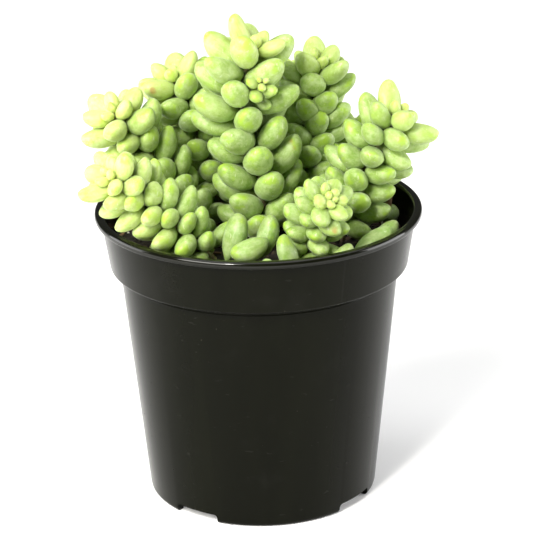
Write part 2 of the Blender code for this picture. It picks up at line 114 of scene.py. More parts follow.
SHOOTS = [
    Shoot("tail_centre", ((0.002, 0.0, SOIL_TOP), (0.0, -0.001, 0.112), (-0.005, -0.002, 0.136),
                          (0.0, -0.004, 0.1552)), 40, 0.0176, 0.0098, 8, 0.02, 6, 68),
    Shoot("tail_centre", ((-0.005, -0.002, 0.136), (0.000, -0.008, 0.140), (0.002, -0.013, 0.146)),
          8, 0.0066, 0.0048, 60, 0.45, 6, 60),
    Shoot("tail_rear_right", ((0.014, 0.016, SOIL_TOP), (0.016, 0.019, 0.106), (0.019, 0.021, 0.124),
                              (0.020, 0.020, 0.1430)), 50, 0.0136, 0.0082, 40, 0.02, 7, 58),
    Shoot("tail_rear_left", ((-0.012, 0.017, SOIL_TOP), (-0.016, 0.019, 0.106), (-0.022, 0.020, 0.123),
                             (-0.028, 0.018, 0.139)), 38, 0.0148, 0.0092, 80, 0.05, 6, 64),
    Shoot("tail_left", ((-0.015, 0.003, SOIL_TOP), (-0.027, 0.004, 0.104), (-0.039, 0.001, 0.1215),
                        (-0.047, -0.006, 0.134)), 38, 0.0140, 0.0082, 10, 0.10, 7, 64),
    Shoot("tail_front_left", ((-0.014, -0.024, SOIL_TOP), (-0.026, -0.026, 0.101),
                              (-0.038, -0.027, 0.112), (-0.0475, -0.034, 0.1215)),
          48, 0.0120, 0.0071, 200, 0.08, 8, 64),
    Shoot("tail_right", ((0.027, 0.0, SOIL_TOP), (0.033, -0.001, 0.106), (0.040, -0.002, 0.121),
                         (0.047, -0.003, 0.1305)), 38, 0.0138, 0.0083, 120, 0.05, 7, 66),
    Shoot("tail_front_right", ((0.016, -0.026, SOIL_TOP), (0.017, -0.028, 0.100),
                               (0.020, -0.032, 0.1085), (0.023, -0.036, 0.1138)),
          38, 0.0098, 0.0066, 30, 0.10, 12, 74),
    Shoot("tail_rear", ((0.003, 0.027, SOIL_TOP), (0.006, 0.032, 0.104), (0.009, 0.035, 0.121),
                        (0.010, 0.037, 0.134)), 40, 0.0130, 0.0082, 0, 0.05, 7, 64),
    Shoot("tail_rear_low_left", ((-0.018, 0.028, SOIL_TOP), (-0.023, 0.031, 0.101),
                                 (-0.029, 0.035, 0.109), (-0.035, 0.038, 0.114)),
          32, 0.0110, 0.0072, 0, 0.08, 8, 62),
    Shoot("tail_rear_low_right", ((0.020, 0.026, SOIL_TOP), (0.025, 0.029, 0.101),
                                  (0.031, 0.032, 0.108), (0.037, 0.034, 0.113)),
          32, 0.0110, 0.0072, 0, 0.08, 8, 62),
]

# Leaves that have come off and lie or stand on the soil: foot, tip and width.
FALLEN = [
    ((-0.0105, -0.0320, 0.0915), (-0.0040, -0.0265, 0.1072), 0.0100),
    ((0.0030, -0.0350, 0.1000), (-0.0090, -0.0410, 0.0935), 0.0098),
    ((-0.0005, -0.0300, 0.0910), (0.0075, -0.0275, 0.1050), 0.0084),
    ((0.0120, -0.0415, 0.0910), (0.0070, -0.0370, 0.1030), 0.0080),
    ((0.0015, -0.0450, 0.0900), (0.0035, -0.0445, 0.0965), 0.0058),
    ((0.0310, -0.025, 0.0925), (0.0430, -0.020, 0.0945), 0.0075),
    ((0.0375, -0.0140, 0.0920), (0.0450, -0.0085, 0.0955), 0.0068),
    ((0.0220, -0.038, 0.0915), (0.0300, -0.035, 0.0965), 0.0065),
    ((0.0430, 0.004, 0.0920), (0.0370, 0.012, 0.0960), 0.0068),
    ((-0.0420, 0.010, 0.0920), (-0.0380, 0.022, 0.0930), 0.0074),
    ((0.0110, 0.042, 0.0915), (0.0200, 0.039, 0.0940), 0.0068),
    ((-0.0240, -0.038, 0.0910), (-0.0150, -0.042, 0.0930), 0.0062),
]


class Leaf:
    """One leaf: where it sprouts, where it points, which way it curls, its size, and its age from 0 to 1."""

    def __init__(self, node, foot, direction, towards, length, width, age):
        self.node = node
        self.foot = np.array(foot, float)
        self.direction = np.array(direction, float)
        self.towards = np.array(towards, float)
        self.length = length
        self.width = width
        self.age = age


def ease(x):
    """0 below 0, 1 above 1, smooth in between."""
    x = min(max(x, 0.0), 1.0)
    return x * x * (3 - 2 * x)


def leaf_profile(u):
    """Half-width of a leaf of width 2, from its foot (0) to its tip (1)."""
    return np.sin(np.pi * np.asarray(u, float) ** 1.15) ** 0.58


def along(route, share):
    """Point and direction of the smooth curve through the route's points."""
    route = np.array(route, float)
    points = np.vstack([2 * route[0] - route[1], route, 2 * route[-1] - route[-2]])
    place = min(max(share, 0.0), 1.0) * (len(route) - 1)
    k = min(int(place), len(route) - 2)
    a, b, c, d = points[k:k + 4]
    s = place - k
    square = 2 * a - 5 * b + 4 * c - d
    cube = 3 * b - a - 3 * c + d
    point = 0.5 * (2 * b + (c - a) * s + square * s**2 + cube * s**3)
    slope = 0.5 * (c - a + 2 * square * s + 3 * cube * s**2)
    return point, slope / np.linalg.norm(slope)


def across(axis):
    """Two directions square to a stem, the first as near to -Y as it can be."""
    front = np.array([0.0, -1.0, 0.0])
    front = front - axis * front.dot(axis)
    front = front / np.linalg.norm(front)
    return front, np.cross(axis, front)


def sprout(shoot):
    """Leaves spiral up the stem by the golden angle, small and upright at the tip, large and spread below."""
    ranks = range(shoot.leaves)
    grown = [ease((shoot.leaves - 0.5 - i) / shoot.young) for i in ranks]
    sizes = [SMALLEST_LEAF + (1 - SMALLEST_LEAF) * share for share in grown]
    climb = np.cumsum(sizes)
    climb = (climb - climb[0]) / (climb[-1] - climb[0])
    leaves = []
    for i in ranks:
        point, axis = along(shoot.route, shoot.bare + (LAST_LEAF - shoot.bare) * climb[i])
        front, side = across(axis)
        angle = math.radians(shoot.turn) + GOLDEN_ANGLE * i
        outward = math.cos(angle) * front + math.sin(angle) * side
        age = ease((shoot.leaves - 1 - i) / (1.3 * shoot.young))
        lean = math.radians(12 + (shoot.spread - 12) * age)
        direction = math.cos(lean) * axis + math.sin(lean) * outward
        length = shoot.length * sizes[i] * (1 + 0.10 * math.sin(7.3 * i + shoot.turn))
        width = shoot.width * sizes[i] ** 0.85 * (1 + 0.06 * math.cos(5.1 * i + shoot.turn))
        foot = point + 0.3 * STEM_RADIUS * sizes[i] * outward
        leaves.append(Leaf(shoot.node, foot, direction, axis, length, width, age))
    return leaves


def fallen_leaves():
    """Each fallen leaf on its own, its upper face up."""
    leaves = []
    for number, (foot, tip, width) in enumerate(FALLEN, 1):
        reach = np.array(tip) - np.array(foot)
        length = np.linalg.norm(reach)
        leaves.append(Leaf(f"fallen_leaf_{number}", foot, reach / length, (0, 0, 1), length, width, 0.9))
    return leaves


def spine(leaf, u):
    """Point on a leaf's curved middle line, and the direction its upper face looks."""
    lift = leaf.towards - leaf.direction * leaf.towards.dot(leaf.direction)
    point = leaf.foot + leaf.length * (u * leaf.direction + LEAF_CURL * u**2 * lift)
    return point, lift / max(np.linalg.norm(lift), 1e-6)


def settle(leaves, rounds=90):
    """Turns crowded leaves on their feet until they lie against each other, the stems, soil and pot."""
    shares = np.array([0.28, 0.48, 0.68, 0.86])
    radii = 0.47 * leaf_profile(shares)
    count = len(leaves)
    nodes = [leaf.node for leaf in leaves]
    family = np.array([nodes.index(node) for node in nodes])
    foot = np.array([leaf.foot for leaf in leaves])
    way = np.array([leaf.direction for leaf in leaves])
    start = way.copy()
    towards = np.array([leaf.towards for leaf in leaves])
    length = np.array([leaf.length for leaf in leaves])
    width = np.array([leaf.width for leaf in leaves])
    owner = np.repeat(np.arange(count), len(shares))
    ball = (width[:, None] * radii).ravel()
    lever = np.maximum((length[:, None] * shares).ravel(), 0.002)
    joints = np.linspace(0, 0.97, 12)
    stems = np.array([along(shoot.route, share)[0] for shoot in SHOOTS for share in joints])

    def gather(index, steps):
        return np.stack([np.bincount(index, steps[:, k], len(ball)) for k in range(3)], 1)

    for turn in range(rounds):
        lift = towards - way * (towards * way).sum(1)[:, None]
        u = shares[None, :, None]
        centre = foot[:, None] + length[:, None, None] * (u * way[:, None] + LEAF_CURL * u**2 * lift[:, None])
        centre = centre.reshape(-1, 3)
        if turn % 15 == 0:
            apart = ((centre[:, None] - centre[None]) ** 2).sum(2)
            near = np.triu(apart < (ball[:, None] + ball[None] + 0.003) ** 2, 1)
            one, two = np.nonzero(near & (owner[:, None] != owner[None]))
            room = np.where(family[owner[one]] == family[owner[two]], 0.0001, CLEARANCE)
            apart = ((centre[:, None] - stems[None]) ** 2).sum(2)
            reach = STEM_RADIUS + ball[:, None] + 0.003
            leafy, stem = np.nonzero((apart < reach**2) & (lever[:, None] > 0.004))
        between = centre[one] - centre[two]
        distance = np.linalg.norm(between, axis=1) + 1e-9
        overlap = np.maximum(ball[one] + ball[two] + room - distance, 0)
        step = between * (0.5 * overlap / distance)[:, None]
        push = gather(one, step) - gather(two, step)
        between = centre[leafy] - stems[stem]
        distance = np.linalg.norm(between, axis=1) + 1e-9
        overlap = np.maximum(STEM_RADIUS + 0.8 * ball[leafy] - distance, 0)
        push += gather(leafy, between * (overlap / distance)[:, None])
        push[:, 2] += np.maximum(SOIL_TOP + CLEARANCE + ball - centre[:, 2], 0)
        from_axis = np.linalg.norm(centre[:, :2], axis=1) + 1e-9
        inside = (centre[:, 2] < POT_HEIGHT - 0.001) & (from_axis < LIP_RADIUS)
        wall = COLLAR_FOOT_RADIUS - WALL
        overlap = np.where(inside, np.maximum(from_axis + ball - wall, 0), 0)
        push[:, :2] -= centre[:, :2] * (overlap / from_axis)[:, None]
        rim = centre * ((LIP_RADIUS - 0.0015) / from_axis)[:, None]
        rim[:, 2] = POT_HEIGHT - 0.001
        between = centre - rim
        distance = np.linalg.norm(between, axis=1) + 1e-9
        overlap = np.maximum(ball + 0.0024 - distance, 0)
        push += between * (overlap / distance)[:, None]
        swing = 0.35 * (push / lever[:, None]).reshape(count, -1, 3).sum(1)
        size = np.linalg.norm(swing, axis=1)[:, None] + 1e-9
        way = way + swing * np.minimum(1, 0.15 / size) + 0.02 * (start - way)
        way /= np.linalg.norm(way, axis=1)[:, None]
    for leaf, direction in zip(leaves, way):
        leaf.direction = direction


def beads(leaf, margin):
    """Balls that cover a leaf: their middles and radii."""
    shares = np.linspace(0.06, 0.97, 9)
    middles = np.array([spine(leaf, u)[0] for u in shares])
    return middles, leaf.width / 2 * leaf_profile(shares) + margin


def trim(leaves, limit=0.72):
    """Shrinks leaves of different bodies that still touch, and drops the ones that would get too small."""
    full = [leaf.length for leaf in leaves]
    for _ in range(14):
        cover = [beads(leaf, CLEARANCE / 2) for leaf in leaves]
        middles = np.array([middle.mean(0) for middle, _ in cover])
        reach = np.array([leaf.length for leaf in leaves])
        tight = set()
        for i, leaf in enumerate(leaves):
            apart = np.linalg.norm(middles - middles[i], axis=1)
            for j in np.nonzero(apart < 0.6 * (reach + reach[i]) + 0.004)[0]:
                if j <= i or leaves[j].node == leaf.node:
                    continue
                apart = np.linalg.norm(cover[i][0][:, None] - cover[j][0][None], axis=2)
                if (apart < cover[i][1][:, None] + cover[j][1][None]).any():
                    tight |= {i, j}
        if not tight:
            break
        for i in tight:
            leaves[i].length *= 0.96
            leaves[i].width *= 0.96
    return [leaf for leaf, length in zip(leaves, full) if leaf.length > limit * length]


def grow():
    """Every leaf of the plant, in its place."""
    leaves = [leaf for shoot in SHOOTS for leaf in sprout(shoot)] + fallen_leaves()
    settle(leaves)
    return trim(leaves)


class Wire:
    """What comes out of a node. Arithmetic on it adds Math nodes."""

    def __init__(self, nodes, socket):
        self.nodes = nodes
        self.socket = socket

    def maths(self, operation, *values):
        """A Math node with this wire as its first value."""
        return self.nodes.node("ShaderNodeMath", {"operation": operation}, dict(enumerate((self, *values))))

    def __add__(self, other):
        return self.maths("ADD", other)

    def __sub__(self, other):
        return self.maths("SUBTRACT", other)

    def __rsub__(self, other):
        return (self * -1).maths("ADD", other)

    def __mul__(self, other):
        return self.maths("MULTIPLY", other)

    __radd__ = __add__
    __rmul__ = __mul__

    def ramp(self, low, high):
        """0 below low, 1 above high, smooth in between."""
        settings = {"interpolation_type": "SMOOTHSTEP"}
        sockets = {"Value": self, "From Min": low, "From Max": high}
        return self.nodes.node("ShaderNodeMapRange", settings, sockets)


class Nodes:
    """A node tree under construction."""

    def __init__(self, tree):
        self.tree = tree

    def node(self, kind, settings, sockets, output=0):
        """Adds a node: first its settings, then a value or a wire for each socket."""
        made = self.tree.nodes.new(kind)
        for key, value in settings.items():
            setattr(made, key, value)
        for key, value in sockets.items():
            if isinstance(value, Wire):
                self.tree.links.new(value.socket, made.inputs[key])
            else:
                made.inputs[key].default_value = value
        return Wire(self, made.outputs[output])


class Paint(Nodes):
    """A material under construction, with its Principled shader."""

    def __init__(self, name, **uniform):
        self.material = bpy.data.materials.new(name)
        self.material.use_nodes = True
        super().__init__(self.material.node_tree)
        self.shader = self.tree.nodes["Principled BSDF"]
        for socket, value in uniform.items():
            self.shader.inputs[socket.replace("_", " ")].default_value = value
        self.place = self.node("ShaderNodeTexCoord", {}, {}, "Object")

    def axis(self, letter):
        """The distance along X, Y or Z from the middle of the pot's foot."""
        return self.node("ShaderNodeSeparateXYZ", {}, {"Vector": self.place}, letter)

    def clouds(self, scale, detail=3.0, rough=0.5, stretch=None, seed=0.0, place=None):
        """Soft noise from 0 to 1. Its scale is in bumps per metre."""
        place = place or self.place
        if stretch or seed:
            settings = {"vector_type": "POINT"}
            sockets = {"Vector": place, "Scale": stretch or (1, 1, 1), "Location": (seed, 2 * seed, 3 * seed)}
            place = self.node("ShaderNodeMapping", settings, sockets)
        sockets = {"Vector": place, "Scale": scale, "Detail": detail, "Roughness": rough}
        return self.node("ShaderNodeTexNoise", {}, sockets, "Fac")

    def cells(self, scale):
        """Distance to the nearest of many strewn points, in shares of their spacing."""
        sockets = {"Vector": self.place, "Scale": scale}
        return self.node("ShaderNodeTexVoronoi", {}, sockets, "Distance")

    def mark(self, name):
        """A number stored at each point of the mesh."""
        return self.node("ShaderNodeAttribute", {"attribute_name": name}, {}, "Fac")

    def growth(self):
        """The place on the leaf itself, stored at each point of the mesh."""
        return self.node("ShaderNodeAttribute", {"attribute_name": "growth"}, {}, "Vector")

    def mix(self, first, second, share):
        """Colour that goes from first to second as share goes from 0 to 1."""
        ends = [c if isinstance(c, Wire) else (*c, 1.0) for c in (first, second)]
        return self.node("ShaderNodeMix", {"data_type": "RGBA"}, {0: share, 6: ends[0], 7: ends[1]}, 2)

    def bump(self, height, strength, distance, below=None):
        """Relief from a height between 0 and 1, laid over the relief below it."""
        sockets = {"Height": height, "Strength": strength, "Distance": distance}
        if below:
            sockets["Normal"] = below
        return self.node("ShaderNodeBump", {}, sockets)

    def feed(self, socket, wire):
        """Leads a wire to one of the shader's own sockets."""
        self.tree.links.new(wire.socket, self.shader.inputs[socket])


def leaf_paint(name, young, old, wax, vivid, dull=0.0):
    """Waxy living leaf: green under a pale bloom that is rubbed off in spots and near the tip, with painted
    shade near the plant's heart and at each leaf's foot, and painted light on the lit side.
    """
    paint = Paint(name, Subsurface_Weight=0.22, Subsurface_Radius=(0.9, 1.0, 0.25), Subsurface_Scale=0.0026,
                  IOR=1.42, Sheen_Weight=0.22, Sheen_Roughness=0.35, Sheen_Tint=(0.90, 1.0, 0.78, 1.0))
    tone = paint.mark("tone")
    age = paint.mark("age")
    along_leaf = paint.mark("along")
    patches = paint.clouds(140, 4, 0.55)
    bloom_grain = paint.clouds(380, 7, 0.68, seed=0.3)
    rub_grain = paint.clouds(230, 5, 0.62, seed=0.7)
    fine = paint.clouds(2600, 3, 0.6)
    streaks = paint.clouds(1300, 4, 0.6, place=paint.growth())
    painted_lit_side = paint.mark("painted_lit_side")
    painted_shade = paint.mark("painted_shade")
    # Painted light: this line and the next make leaves on the lit left side paler and yellower.
    body = paint.mix(young, old, (age * 0.60 + tone * 0.50 - 0.30 * painted_lit_side).ramp(-0.05, 0.95))
    body = paint.mix(body, (0.68, 0.70, 0.24), painted_lit_side * (1 - age * 0.7) * 0.35)
    # Painted shade: leaves near the plant's heart are darkened towards a deep green.
    body = paint.mix(body, (0.13, 0.24, 0.035), painted_shade * 0.38)
    body = paint.mix(body, tuple(c * 0.62 for c in old), patches.ramp(0.44, 0.70) * (0.15 + 0.25 * age))
    tip = along_leaf.ramp(0.70, 0.97)
    rubbed = (rub_grain + tip * 0.12).ramp(0.57, 0.72)
    body = paint.mix(body, vivid, rubbed * 0.60)
    veil = bloom_grain.ramp(0.34, 0.68) * (1 - rubbed * 0.85) * (0.10 + 0.34 * age)
    body = paint.mix(body, wax, veil)
    body = paint.mix(body, wax, streaks.ramp(0.52, 0.72) * (1 - rubbed) * 0.24)
    body = paint.mix(body, tuple(c * 0.80 for c in old), (1 - streaks.ramp(0.30, 0.46)) * 0.30)
    # Painted shade: each leaf darker towards its foot, where it crowds against the stem.
    body = paint.mix(body, tuple(c * 0.50 for c in old), (1 - along_leaf.ramp(0.0, 0.26)) * 0.55)
    specks = (1 - paint.cells(520).ramp(0.04, 0.12)) * paint.clouds(60, 2).ramp(0.50, 0.62)
    body = paint.mix(body, (0.17, 0.19, 0.06), specks * 0.55)
    scuffs = paint.clouds(900, 2, 0.5, stretch=(1, 1, 0.35), seed=2.6).ramp(0.66, 0.72)
    body = paint.mix(body, (0.66, 0.70, 0.52), scuffs * 0.40 * age)
    sore = paint.clouds(95, 2, 0.4, seed=1.9).ramp(0.71, 0.75) * tip
    body = paint.mix(body, (0.42, 0.13, 0.05), sore * 0.6)
    if dull:
        body = paint.mix(body, (0.30, 0.27, 0.10), patches.ramp(0.42, 0.62) * dull)
    paint.feed("Base Color", body)
    paint.feed("Roughness", 0.34 + 0.34 * veil + 0.08 * fine - 0.08 * rubbed)
    dents = paint.bump(patches, 0.45, 0.0012)
    grain = paint.bump(bloom_grain, 0.30, 0.00030, dents)
    ribs = paint.bump(streaks, 0.25, 0.00022, grain)
    paint.feed("Normal", paint.bump(fine, 0.25, 0.00010, ribs))
    return paint.material


def stem_paint():
    """Fleshy stem skin, ringed and spotted with old leaf scars."""
    paint = Paint("stem_skin", Subsurface_Weight=0.1, Subsurface_Radius=(0.8, 0.8, 0.3),
                  Subsurface_Scale=0.001)
    rings = paint.clouds(900, 4, 0.6, stretch=(1, 1, 2.2))
    scars = paint.clouds(420, 3, 0.5, seed=0.4).ramp(0.48, 0.62)
    body = paint.mix((0.30, 0.36, 0.14), (0.36, 0.26, 0.15), rings.ramp(0.35, 0.65))
    paint.feed("Base Color", paint.mix(body, (0.16, 0.10, 0.06), scars * 0.7))
    paint.feed("Roughness", 0.55 + 0.3 * rings)
    paint.feed("Normal", paint.bump(rings + scars, 0.6, 0.0003))
    return paint.material


def plastic_paint():
    """Black moulded plastic, glossier at the lip: flow streaks, a mould seam, dust and dried water marks."""
    paint = Paint("pot_satin_black", IOR=1.49, Specular_IOR_Level=0.062, Coat_Roughness=0.07)
    skin = paint.clouds(2400, 3, 0.6)
    streaks = paint.clouds(60, 4, 0.55, stretch=(1, 1, 0.06))
    water = paint.clouds(45, 5, 0.65, seed=0.2).ramp(0.55, 0.72)
    dust = (1 - paint.cells(260).ramp(0.02, 0.06)) * paint.clouds(30, 2, seed=0.9).ramp(0.50, 0.62)
    scuffs = paint.clouds(260, 2, 0.5, stretch=(1, 1, 3.0), seed=1.3).ramp(0.68, 0.76)
    body = paint.mix((0.0028, 0.0031, 0.0013), (0.0044, 0.0048, 0.0022), streaks.ramp(0.35, 0.70))
    body = paint.mix(body, (0.010, 0.010, 0.008), water * 0.30)
    body = paint.mix(body, (0.10, 0.09, 0.07), dust * 0.5)
    body = paint.mix(body, (0.020, 0.020, 0.017), scuffs * 0.25)
    from_plane = paint.axis("X") * math.cos(SEAM_ANGLE) + paint.axis("Y") * math.sin(SEAM_ANGLE)
    on_collar = paint.axis("Z").ramp(COLLAR_FOOT - 0.0003, COLLAR_FOOT + 0.0007)
    seam = (1 - from_plane.maths("ABSOLUTE").ramp(0.0001, 0.0005)) * on_collar
    paint.feed("Coat Weight", 0.50 * paint.axis("Z").ramp(POT_HEIGHT - 0.0024, POT_HEIGHT - 0.0010))
    body = paint.mix(body, (0.010, 0.010, 0.008), seam * 0.4)
    paint.feed("Base Color", body)
    paint.feed("Roughness", 0.18 + 0.05 * streaks + 0.04 * water + 0.10 * scuffs + 0.2 * dust)
    relief = paint.bump(seam, 0.12, 0.0001, paint.bump(streaks, 0.05, 0.0004))
    paint.feed("Normal", paint.bump(skin, 0.10, 0.00006, relief))
    return paint.material


def soil_paint(name, dark, light):
    """Damp, peaty soil with paler grains and fibres."""
    paint = Paint(name)
    lumps = paint.clouds(380, 5, 0.65)
    grain = paint.clouds(2200, 5, 0.7, seed=0.5)
    tone = paint.mark("tone")
    body = paint.mix(dark, light, (lumps * 0.6 + grain * 0.5 + tone * 0.35).ramp(0.45, 0.95))
    flecks = (1 - paint.cells(1500).ramp(0.08, 0.2)) * paint.clouds(500, 2, seed=2.0).ramp(0.58, 0.66)
    paint.feed("Base Color", paint.mix(body, (0.22, 0.16, 0.09), flecks * 0.6))
    paint.feed("Roughness", 0.82 + 0.16 * grain)
    paint.feed("Normal", paint.bump(grain, 0.8, 0.0004, paint.bump(lumps, 0.7, 0.001)))
    return paint.material


def bark_paint():
    """Fibrous composted bark."""
    paint = Paint("bark_brown")
    fibres = paint.clouds(900, 5, 0.6, stretch=(0.3, 1, 1))
    tone = paint.mark("tone")
    paint.feed("Base Color", paint.mix((0.055, 0.030, 0.016), (0.26, 0.15, 0.075), fibres * 0.5 + tone * 0.6))
    paint.feed("Roughness", 0.75 + 0.2 * fibres)
    paint.feed("Normal", paint.bump(fibres, 0.7, 0.0003))
    return paint.material


def perlite_paint():
    """Chalky white grains, pitted and stained by the soil."""
    paint = Paint("perlite_chalk", Subsurface_Weight=0.15, Subsurface_Radius=(1, 0.9, 0.8),
                  Subsurface_Scale=0.0006)
    pits = paint.cells(2600)
    stain = paint.clouds(700, 4, 0.6)
    body = paint.mix((0.78, 0.75, 0.68), (0.42, 0.35, 0.25), stain.ramp(0.45, 0.75) * 0.7)
    paint.feed("Base Color", paint.mix(body, (0.30, 0.26, 0.20), (1 - pits.ramp(0.05, 0.30)) * 0.6))
    paint.feed("Roughness", 0.80 + 0.15 * stain)
    paint.feed("Normal", paint.bump(pits, 0.8, 0.0003))
    return paint.material


def floor_paint():
    """Plain white paper, a little bright of itself so that shadows stay pale."""
    paint = Paint("pale_floor", Emission_Color=(1, 1, 1, 1), Emission_Strength=0.14)
    cloth = paint.clouds(14, 3)
    paint.feed("Base Color", paint.mix((0.86, 0.86, 0.86), (0.90, 0.90, 0.90), cloth))
    paint.feed("Roughness", 0.6 + 0.1 * cloth)
    return paint.material


def finish_piece(name, mesh, surface, replaced=()):
    """Puts a piece of the object in the scene, on its body and in its material slot."""
    piece = bpy.data.objects.new(name, mesh)
    bpy.context.scene.collection.objects.link(piece)
    mesh.materials.clear()
    mesh.materials.append(surface)
    mesh.shade_smooth()
    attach(piece, "root")
    if replaced:
        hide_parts(*replaced)


def store(mesh, name, values):
    """Keeps a number, or three of them, at each point of a mesh."""
    values = np.asarray(values, np.float32)
    if values.ndim == 2:
        mesh.attributes.new(name, "FLOAT_VECTOR", "POINT").data.foreach_set("vector", values.ravel())
    else:
        mesh.attributes.new(name, "FLOAT", "POINT").data.foreach_set("value", values)


def mesh_from(points, faces, **marks):
    """A mesh that keeps the given marks at its points, by name."""
    mesh = bpy.data.meshes.new("mesh")
    mesh.from_pydata([tuple(point) for point in points], [], faces)
    for name, values in marks.items():
        store(mesh, name, values)
    mesh.validate()
    return mesh


def bean_profile(u, blunt):
    """Half-width of a leaf of width 2 at a share of its length. A lower blunt makes a rounder end."""
    return np.sin(np.pi * u**1.16) ** blunt * (1 - 0.34 * np.exp(-((u / 0.17) ** 2)))


def plump_ball():
    """Points on a ball of radius 1 and its faces, as the blank that each leaf is drawn out from."""
    bm = bmesh.new()
    bmesh.ops.create_uvsphere(bm, u_segments=LEAF_AROUND, v_segments=LEAF_ALONG, radius=1)
    points = np.array([vert.co for vert in bm.verts])
    faces = [[vert.index for vert in face.verts] for face in bm.faces]
    bm.free()
    return points, faces


def drawn_out(leaf, ball, chance):
    """The ball drawn out along a leaf's curved middle, flatter on its upper face and a little irregular."""
    u = 0.5 + 0.5 * ball[:, 2]
    angle = np.arctan2(ball[:, 1], ball[:, 0])
    lift = leaf.towards - leaf.direction * leaf.towards.dot(leaf.direction)
    upper = lift / max(np.linalg.norm(lift), 1e-6)
    side = np.cross(upper, leaf.direction)
    sway = chance.uniform(-0.07, 0.07)
    phase = [chance.uniform(0, 2 * math.pi) for _ in range(5)]
    middle = leaf.foot + leaf.length * (
        u[:, None] * leaf.direction
        + LEAF_CURL * u[:, None] ** 2 * lift
        + (sway * (u - 0.2) * u)[:, None] * side
    )
    half = leaf.width / 2 * bean_profile(np.clip(u, 0, 1), chance.uniform(0.36, 0.47))
    half = half * (1 + 0.025 * np.sin(2 * angle + phase[0] + 2.5 * u) + 0.018 * np.sin(3 * angle + phase[1]))
    half = half * (1 + 0.030 * np.sin(5.5 * u + phase[2]) + 0.012 * np.sin(11 * u + phase[3] + angle))
    keel = 1 + 0.05 * np.exp(-(np.sin(angle) / 0.30) ** 2) * np.clip(u * 1.6 - 0.3, 0, 1)
    thick = np.where(np.sin(angle) > 0, 0.80, 0.93)
    across_leaf = half * keel * np.cos(angle)
    through_leaf = half * thick * np.sin(angle)
    points = middle + across_leaf[:, None] * side + through_leaf[:, None] * upper
    growth = np.stack([across_leaf, through_leaf, 0.16 * leaf.length * u], 1)
    growth += [chance.uniform(0, 1) for _ in range(3)]
    return points, u, growth


def leaf_mesh(leaves, seed):
    """All the leaves of one body in one mesh, with what the paint needs stored at each point."""
    chance = random.Random(seed)
    ball, ball_faces = plump_ball()
    points, faces = [], []
    marks = {name: [] for name in ("tone", "age", "painted_shade", "painted_lit_side", "along", "growth")}
    for number, leaf in enumerate(leaves):
        skin, share, growth = drawn_out(leaf, ball, chance)
        points.append(skin)
        faces += [[number * len(ball) + corner for corner in face] for face in ball_faces]
        tip = leaf.foot + leaf.length * leaf.direction
        shade = 1 - ease((np.linalg.norm(tip - LEAF_HEART) - SHADE_NEAR) / SHADE_FADE)
        # The tone is partly random and partly painted shade: leaves near the heart lean to the older, darker
        # green.
        tone = 0.55 * chance.random() + 0.60 * shade
        # How much painted light a leaf gets, from how far left its tip lies.
        painted_lit_side = ease((SUN_EDGE - tip[0]) / SUN_FADE)
        own = {"tone": tone, "age": leaf.age, "painted_shade": shade, "painted_lit_side": painted_lit_side, "along": share, "growth": growth}
        for name, value in own.items():
            marks[name].append(value if np.ndim(value) else np.full(len(ball), value))
    joined = {name: np.concatenate(values) for name, values in marks.items()}
    return mesh_from(np.concatenate(points), faces, **joined)


def tube_faces(first, steps, sides):
    """The faces of a closed tube whose rings of points follow one another from point number first."""
    faces = []
    for k in range(steps):
        for s in range(sides):
            a = first + k * sides + s
            b = first + k * sides + (s + 1) % sides
            faces.append((a, b, b + sides, a + sides))
    faces.append([first + s for s in range(sides)][::-1])
    faces.append([first + steps * sides + s for s in range(sides)])
    return faces


def stem_mesh(shoots):
    """Round, slightly knobbly stems, from the soil to the growing tip."""
    steps, sides = 48, 12
    points, faces = [], []
    for shoot in shoots:
        first = len(points)
        buried = shoot.route[0][2] == SOIL_TOP
        for k in range(steps + 1):
            share = k / steps
            point, axis = along(shoot.route, share)
            if buried and k == 0:
                point = point - np.array((0, 0, 0.004))
            front, side = across(axis)
            radius = STEM_RADIUS * (1 - STEM_TAPER * share)
            for s in range(sides):
                angle = 2 * math.pi * s / sides
                swell = 1 + 0.10 * math.sin(0.7 * shoot.leaves * share * 6 + 3 * angle)
                swell += 0.08 * noise.noise(Vector((angle, share * 30, shoot.turn)))
                points.append(point + radius * swell * (math.cos(angle) * front + math.sin(angle) * side))
        faces += tube_faces(first, steps, sides)
    return mesh_from(points, faces)


def dry_stalk(surface):
    """A bare stub of an old stem, standing in the soil at the right."""
    steps, sides = 20, 12
    points = []
    for k in range(steps + 1):
        share = k / steps
        radius = STALK_RADIUS * (1 - 0.35 * share) * (1 - 0.8 * max(0, share - 0.93) / 0.07)
        for s in range(sides):
            angle = 2 * math.pi * s / sides
            rough = 1 + 0.22 * noise.noise(Vector((math.cos(angle) * 2, math.sin(angle) * 2, share * 9)))
            points.append((STALK_FOOT[0] + 0.0012 * share**2 + radius * rough * math.cos(angle),
                           STALK_FOOT[1] + 0.0006 * share + radius * rough * math.sin(angle),
                           SOIL_TOP - 0.003 + STALK_HEIGHT * share))
    mesh = mesh_from(points, tube_faces(0, steps, sides), tone=np.full(len(points), 0.5))
    finish_piece("dry_stalk", mesh, surface)


def rounded(corners, steps=5):
    """An outline of (radius, height, rounding) corners with each corner rounded off."""
    outline = []
    for k, (x, z, round_off) in enumerate(corners):
        here = np.array((x, z))
        if not round_off:
            outline.append((x, z))
            continue
        before = np.array(corners[k - 1][:2]) - here
        after = np.array(corners[k + 1][:2]) - here
        start = here + before / np.linalg.norm(before) * round_off
        end = here + after / np.linalg.norm(after) * round_off
        for t in np.linspace(0, 1, steps):
            outline.append(tuple((1 - t) ** 2 * start + 2 * t * (1 - t) * here + t**2 * end))
    return outline


